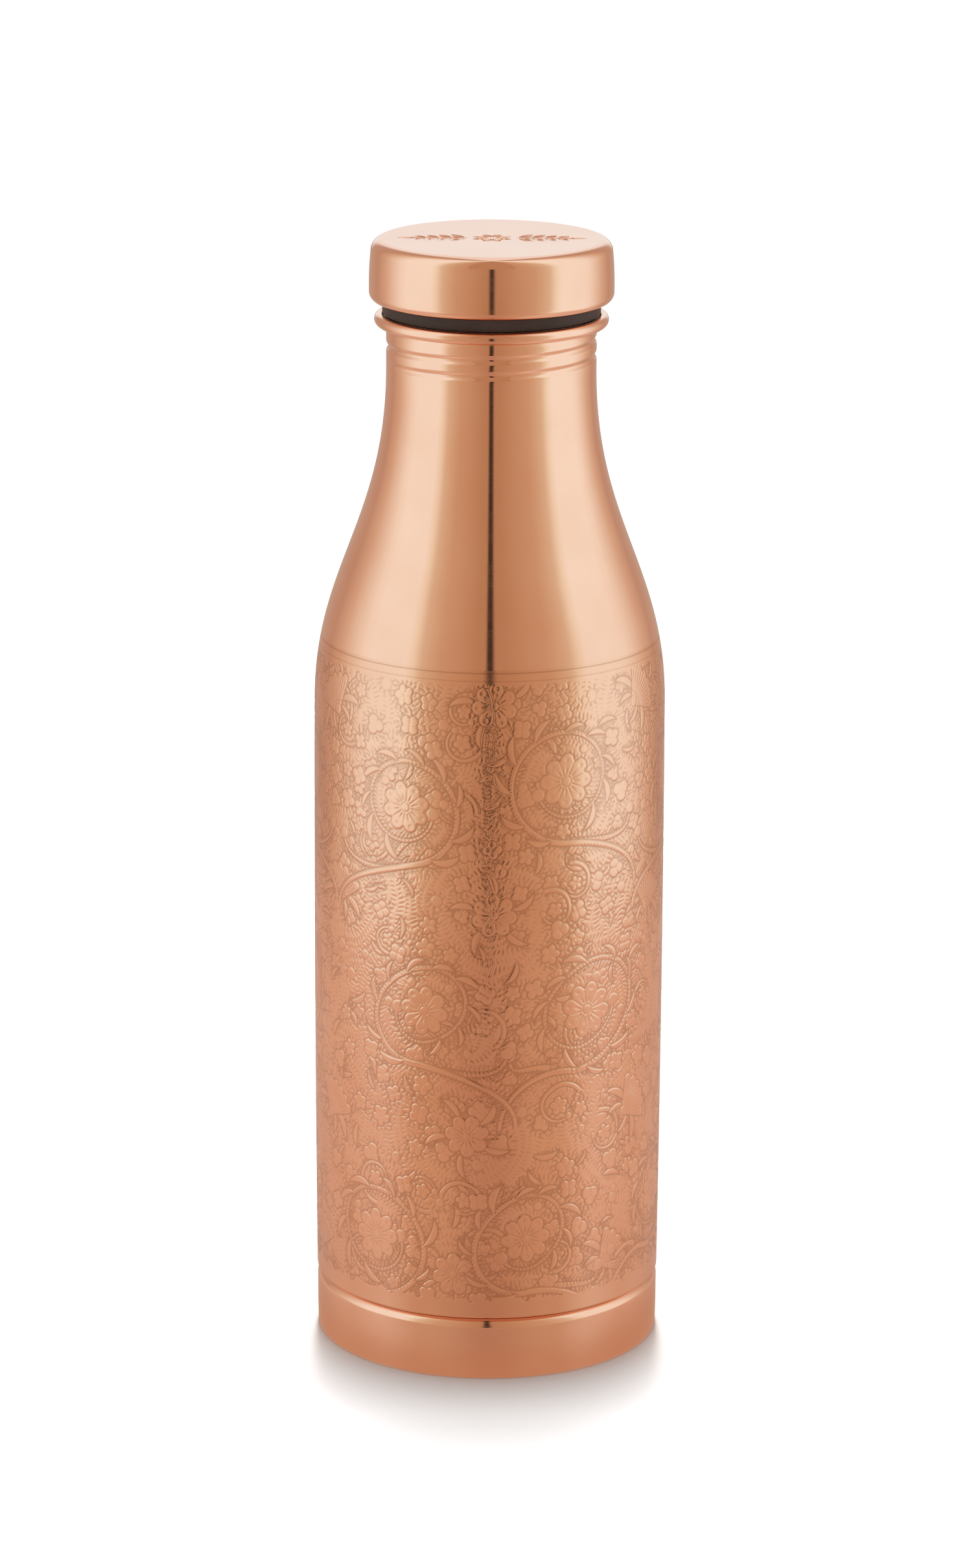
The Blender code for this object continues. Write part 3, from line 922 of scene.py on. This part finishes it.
def curl(centre, start, spin, radius):
    """A short tendril that curls in round a blossom."""
    t = np.linspace(0.0, 1.0, 30)
    line = polar(centre, radius * (1.3 - 0.3 * np.minimum(3.0 * t, 1.0) - 0.25 * t), start + spin * 5.0 * t)
    fringe(line, -spin, 1.7)
    stem(line, 1.3, 0.7)
    blossom(centre, radius * 0.5, 5, start)
    bead(line[-1], 0.8)


def plume(base, facing, length, bend):
    """A tapering leaf that bends to one side, with comb teeth along both of its edges."""
    turn = facing + bend * np.linspace(-0.5, 0.9, 11)
    steps = length / 11.0 * np.stack([np.cos(turn), np.sin(turn)], axis=1)
    line = np.asarray(base) + np.cumsum(steps, axis=0)
    fringe(line, 1, 1.9)
    fringe(line, -1, 1.9)
    half_width = (0.75 * np.sin(np.linspace(0.35, math.pi, 11)) * length / 7.0)[:, None]
    sheet.band(line, left_of(steps), half_width)


def vine(line, start_width, end_width):
    """A stem with a row of teeth along each of its sides."""
    fringe(line, 1, start_width * 0.5 + 1.5)
    fringe(line, -1, start_width * 0.5 + 1.5)
    stem(line, start_width, end_width)


def volute(centre, spin, start, radius):
    """A vine that winds in towards a flower, with plumes and blossoms outside it and beads inside."""
    last = 71
    t = np.linspace(0.0, 1.0, last + 1)
    angle = start + spin * math.radians(random.uniform(415.0, 475.0)) * t
    squeeze = 1.0 + random.uniform(-0.13, 0.13) * np.sin(2.0 * (angle - start))
    reach = radius * (1.0 - 0.5 * t) * squeeze
    spiral = polar(centre, reach, angle)
    vine(spiral, 1.55, 0.8)

    def beside(share, off):
        k = int(share * last)
        return polar(centre, reach[k] + off, angle[k]), angle[k]

    for share in np.linspace(0.03, 0.72, 10):
        spot, outwards = beside(share, -0.5)
        heading = outwards + spin * random.uniform(0.9, 1.3)
        plume(spot, heading, random.uniform(6.0, 8.5), spin)
    for share in (0.11, 0.33, 0.55):
        spot, outwards = beside(share, 4.4)
        blossom(spot, 2.4, 4, outwards)
    for share in (0.2, 0.5):
        bead(beside(share, -2.6)[0], 1.1)
    bead(spiral[-1], 1.5)
    flower(centre, radius * 0.45, 8, start)


def spots(rows, first_column, most_sway):
    """(row plus column, centre) of each spot in rows of (height, shift round the body)."""
    for row, (height, shift) in enumerate(rows):
        for column in range(ROUND_THE_BODY):
            sway = random.uniform(-most_sway, most_sway, 2)
            x = CAMERA_SIDE + (column + first_column) * VOLUTE_STEP + shift
            yield row + column, np.array([x + sway[0], height + sway[1]])


def engrave():
    """Three rows of volutes round the body, joined by vines, with fans and flowers between them."""
    major = []
    for number, centre in spots(MAJOR_ROWS, 0.5, 3.2):
        spin = 1 if number % 2 else -1
        start = math.radians(-90.0 + random.uniform(-25.0, 25.0))
        major.append((centre, spin, start, random.uniform(12.6, 14.6)))
    minor = [centre for _, centre in spots(MINOR_ROWS, 0.0, 2.0)]
    barbs([centre for centre, *_ in major] + minor)
    sprinkle(spacing=4.6, tries=6000)
    for index, centre in enumerate(minor):
        facing = math.radians(90.0 + random.uniform(-60.0, 60.0))
        if index % 2:
            for turn in (-1, 1):
                plume(polar(centre, 2.0, facing + turn * 2.4), facing + turn * 1.9, 8.5, turn)
                plume(polar(centre, 2.0, facing + turn * 2.8), facing + turn * 2.6, 6.5, turn)
            fan(centre - polar((0.0, 0.0), 4.0, facing), 9.5, facing, 0.85)
        else:
            for k in range(5):
                plume(polar(centre, 3.5, facing + k * math.tau / 5), facing + k * math.tau / 5, 7.5, 1)
            flower(centre, 5.0, 7, facing)
    for centre, spin, start, radius in major:
        begin = polar(centre, radius, start)
        heading = spin * np.array([-math.sin(start), math.cos(start)])
        low = centre + (spin * -VOLUTE_STEP * 0.5, -26.0)
        side = centre + (spin * -VOLUTE_STEP * 0.45, -9.0)
        before = begin - heading * 6.0
        vine(bezier(before, before - heading * 6.0, side + (0.0, -6.0), side, 24), 1.6, 0.8)
        bead(side, 1.4)
        vine(bezier(low, low + (0.0, 8.0), begin - heading * 9.0, begin, 28), 1.1, 1.55)
    for centre, spin, start, radius in major:
        volute(centre, spin, start, radius)
    return sheet.relief()


# ------------ build
body_upper()
body_lower()
base_cup()
solder_bead()
lid_shell()
lid_plug()
lid_gasket()
engraved_panels(engrave())


# ------------ stage, light and camera
def stage_object(name, vertices, faces, finish, **seen_by):
    """A floor or a wall of light. seen_by says which rays meet it."""
    made = add_object(name, vertices, faces, finish)
    made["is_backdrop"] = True
    for kind in ("camera", "diffuse", "glossy", "transmission", "shadow"):
        setattr(made, "visible_" + kind, seen_by.get(kind, False))
    return made


def ring(radius, height, segments):
    turns = [k * math.tau / segments for k in range(segments)]
    return [(radius * math.cos(a), radius * math.sin(a), height) for a in turns]


def strips(first, rings, segments):
    """The faces between each ring of points and the next."""
    faces = []
    for a in range(first, first + (rings - 1) * segments, segments):
        for k in range(segments):
            b = (k + 1) % segments
            faces.append((a + k, a + segments + k, a + segments + b, a + b))
    return faces


def disc(radius, rings, segments=96):
    points = [(0.0, 0.0, 0.0)]
    for k in range(1, rings + 1):
        points += ring(radius * k / rings, 0.0, segments)
    middle = [(0, 1 + k, 1 + (k + 1) % segments) for k in range(segments)]
    return points, middle + strips(1, rings, segments)


def ball(radius, segments=128, rings=64):
    points = []
    for k in range(1, rings):
        up = math.pi * k / rings
        points += ring(radius * math.sin(up), radius * math.cos(up), segments)
    top, bottom = len(points), len(points) + 1
    points += [(0.0, 0.0, radius), (0.0, 0.0, -radius)]
    faces = strips(0, rings - 1, segments)
    last = top - segments
    for k in range(segments):
        b = (k + 1) % segments
        faces += [(top, k, b), (bottom, last + b, last + k)]
    return points, faces


def light_material(name):
    """A material for a surface that only gives light. Its shader is still to be added."""
    finish, tree, shader = new_material(name)
    tree.nodes.remove(shader)
    finish.cycles.emission_sampling = "NONE"
    return finish, tree


def glow(tree, colour, strength=1.0):
    return node(tree, "Emission", {"Color": colour, "Strength": strength}).outputs[0]


def surface(tree, shader):
    put(tree, tree.nodes["Material Output"].inputs["Surface"], shader)


def ramp(tree, share, stops, interpolation="EASE"):
    made = node(tree, "ValToRGB", {0: share})
    made.color_ramp.interpolation = interpolation
    elements = made.color_ramp.elements
    while len(elements) > 1:
        elements.remove(elements[-1])
    for index, (position, colour) in enumerate(stops):
        element = elements[0] if index == 0 else elements.new(position)
        element.position = position
        element.color = (*colour, 1.0)
    return made.outputs[0]


def direction_angles(tree, vector):
    """(share of the half circle from the front to the back, the unit vector's x, y and z)."""
    unit = node(tree, "VectorMath", {0: vector}, operation="NORMALIZE").outputs[0]
    axes = node(tree, "SeparateXYZ", {0: unit}).outputs
    toward_front = maths(tree, "MULTIPLY", axes[1], -1.0)
    azimuth = maths(tree, "ARCTAN2", maths(tree, "ABSOLUTE", axes[0]), toward_front)
    return maths(tree, "DIVIDE", azimuth, math.pi), axes


SLIT = (0.059, 0.042, 0.034)
FRONT_NEAR = (0.512, 0.325, 0.195)
FRONT = (0.590, 0.408, 0.263)
FRONT_SIDE = (0.635, 0.462, 0.313)
FRONT_EDGE = (0.689, 0.558, 0.394)
SOFTBOX_RIM = (0.748, 0.668, 0.516)
SOFTBOX_NEAR = (0.915, 0.966, 0.843)
SOFTBOX = (0.984, 1.100, 1.078)
SOFTBOX_END = (0.954, 1.016, 0.964)
REAR_SIDE = (0.709, 0.565, 0.433)
REAR = (0.552, 0.381, 0.285)
REAR_FAR = (0.554, 0.400, 0.320)
BACKDROP = (0.938, 0.976, 0.974)

# degrees from the front, and the colour of the studio in that direction
STUDIO = (
    (0.0, SLIT), (1.4, SLIT), (3.2, FRONT_NEAR), (8.0, FRONT_NEAR), (24.0, FRONT), (36.0, FRONT_SIDE),
    (43.5, FRONT_EDGE), (51.0, SOFTBOX_RIM), (57.2, SOFTBOX_NEAR), (63.0, SOFTBOX), (92.0, SOFTBOX),
    (100.0, SOFTBOX_END), (122.0, REAR_SIDE), (138.0, REAR), (158.0, REAR_FAR), (180.0, REAR_FAR),
)
STUDIO_SIZE = 4.0
SIDE_LEAN = 5.7 / 180.0
BACKDROP_SIZE = 9.0
BACKDROP_STRENGTH = 1.02
WHITE = (1.0, 1.0, 1.0, 1.0)
WORLD_STRENGTH = 0.38

# share of the half circle from the front to the back, and the floor's colour there in reflections
MIRRORED_FLOOR = (
    (0.0, (0.500, 0.312, 0.214)), (0.25, (0.605, 0.412, 0.280)), (0.42, (0.745, 0.600, 0.495)),
    (0.62, (0.695, 0.520, 0.405)), (1.0, (0.595, 0.410, 0.330)),
)
MIRRORED_FLOOR_SIZE = 0.47
MIRRORED_FLOOR_Z = -0.0002
# painted shadow: the colour of the mirrored floor right beside the base, darker and warmer
FLOOR_SHADE_AT_BASE = (0.555, 0.318, 0.202, 1.0)

# the screen in front of the slit, in millimetres
SCREEN_HALF_WIDTH = 45.0
SCREEN_DISTANCE = 120.0
SCREEN_HEIGHTS = (266.0, 800.0)

# the overhead suns, with their angles in degrees
OVERHEAD_TILTS = np.linspace(0.6, 13.4, 8)
OVERHEAD_ANGLE = 2.2
OVERHEAD_ENERGY = 0.305

CAMERA_PLACE = (0.16, -1228.5, 463.9)
CAMERA_PITCH = 15.343
CAMERA_ROLL = 0.279
CAMERA_LENS = 131.02
CAMERA_SENSOR = 36.0


def studio():
    """The room of light that only the copper's reflections see."""
    finish, tree = light_material("studio_light")
    share, axes = direction_angles(tree, own_place(tree))
    leaning = maths(tree, "SUBTRACT", share, maths(tree, "MULTIPLY", axes[0], SIDE_LEAN))
    low = ramp(tree, leaning, [(degrees / 180.0, colour) for degrees, colour in STUDIO], "LINEAR")
    behind = mapped(tree, share, 0.86, 0.93, 0.0, 1.0, smooth=True)
    above = mapped(tree, axes[2], -0.02, 0.08, 0.0, 1.0, smooth=True)
    colour = mixed(tree, maths(tree, "MULTIPLY", behind, above), low, (*BACKDROP, 1.0))
    surface(tree, glow(tree, colour))
    stage_object("studio_walls", *ball(STUDIO_SIZE), finish, glossy=True)


def slit_screen():
    """Hides the dark slit from the lid's flat top, which would mirror it when seen from behind."""
    finish, tree = light_material("slit_screen_light")
    surface(tree, glow(tree, (*FRONT_NEAR, 1.0)))
    edge, (low, high) = SCREEN_HALF_WIDTH, SCREEN_HEIGHTS
    corners = [(-edge, low), (edge, low), (edge, high), (-edge, high)]
    points = [(x * MM, -SCREEN_DISTANCE * MM, z * MM) for x, z in corners]
    stage_object("slit_screen", points, [(0, 1, 2, 3)], finish, glossy=True)


def backdrop():
    """The white beyond the floor, for the camera alone."""
    finish, tree = light_material("backdrop_white")
    surface(tree, glow(tree, WHITE, BACKDROP_STRENGTH))
    stage_object("backdrop", *ball(BACKDROP_SIZE), finish, camera=True)


def floor():
    """The pale floor that the camera sees."""
    finish, tree, shader = new_material("floor_pale")
    put_all(tree, shader, {"Base Color": WHITE, "Roughness": 1.0, "Specular IOR Level": 0.0})
    stage_object("floor", *disc(BACKDROP_SIZE, 12), finish, camera=True, diffuse=True, shadow=True)


def floor_in_reflections():
    """The floor round the base as the copper mirrors it, which fades out with distance. Close to the base it
    carries a painted shadow: a darker, warmer colour and a dimmer glow.
    """
    finish, tree = light_material("floor_in_reflections")
    place_on_floor = own_place(tree)
    distance = node(tree, "VectorMath", {0: place_on_floor}, operation="LENGTH").outputs["Value"]
    share, _ = direction_angles(tree, place_on_floor)
    # the direction of the ray that reaches this spot from the body's wall, not that of the spot itself
    nearness = maths(tree, "DIVIDE", BODY_RADIUS * MM, maths(tree, "MAXIMUM", distance, BODY_RADIUS * MM))
    twice = maths(tree, "MULTIPLY", share, 2.0)
    of_ray = maths(tree, "DIVIDE", twice, maths(tree, "SUBTRACT", 2.0, nearness))
    # painted shadow of the bottle on the mirrored floor, strongest within 40 mm of the axis
    shade_beside_the_base = mapped(tree, distance, 0.040, 0.070, 0.75, 0.0, smooth=True)
    colour = mixed(tree, shade_beside_the_base, ramp(tree, of_ray, MIRRORED_FLOOR), FLOOR_SHADE_AT_BASE)
    # painted shade: the glow is a little dimmer within 85 mm of the axis
    light = glow(tree, colour, mapped(tree, distance, 0.085, 0.130, 1.0, 1.07, smooth=True))
    clear = node(tree, "BsdfTransparent").outputs[0]
    edge = mapped(tree, distance, 0.30, 0.46, 0.0, 1.0, smooth=True)
    surface(tree, node(tree, "MixShader", {0: edge, 1: light, 2: clear}).outputs[0])
    near = stage_object("floor_in_reflections", *disc(MIRRORED_FLOOR_SIZE, 24), finish, glossy=True)
    near.location.z = MIRRORED_FLOOR_Z


def world():
    made = bpy.data.worlds.new("white_room")
    bpy.context.scene.world = made
    made.use_nodes = True
    background = made.node_tree.nodes["Background"]
    put_all(made.node_tree, background, {"Color": WHITE, "Strength": WORLD_STRENGTH})
    made.cycles_visibility.glossy = False
    made.cycles_visibility.camera = False


def overhead():
    """A long light from overhead to a little behind, which lays the soft shadow in front of the base."""
    for index, tilt in enumerate(OVERHEAD_TILTS):
        light = bpy.data.lights.new(f"overhead_{index}", "SUN")
        light.angle = math.radians(OVERHEAD_ANGLE)
        light.energy = OVERHEAD_ENERGY
        made = linked(light.name, light)
        made.rotation_euler = (math.radians(-tilt), 0.0, 0.0)
        made.visible_glossy = False
        made.visible_camera = False


def camera():
    data = bpy.data.cameras.new("camera")
    data.sensor_width = CAMERA_SENSOR
    data.lens = CAMERA_LENS
    made = linked("camera", data)
    made.location = [value * MM for value in CAMERA_PLACE]
    made.rotation_mode = "XYZ"
    turn = Matrix.Rotation(math.radians(90.0 - CAMERA_PITCH), 4, "X")
    turn = turn @ Matrix.Rotation(math.radians(CAMERA_ROLL), 4, "Z")
    made.rotation_euler = turn.to_euler()
    bpy.context.scene.camera = made


studio()
slit_screen()
backdrop()
floor()
floor_in_reflections()
world()
overhead()
camera()
bpy.context.scene.view_settings.view_transform = "Standard"

boxes = {"cad": cad_box, "visual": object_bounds()}
{name: [list(corner) for corner in box] for name, box in boxes.items()}
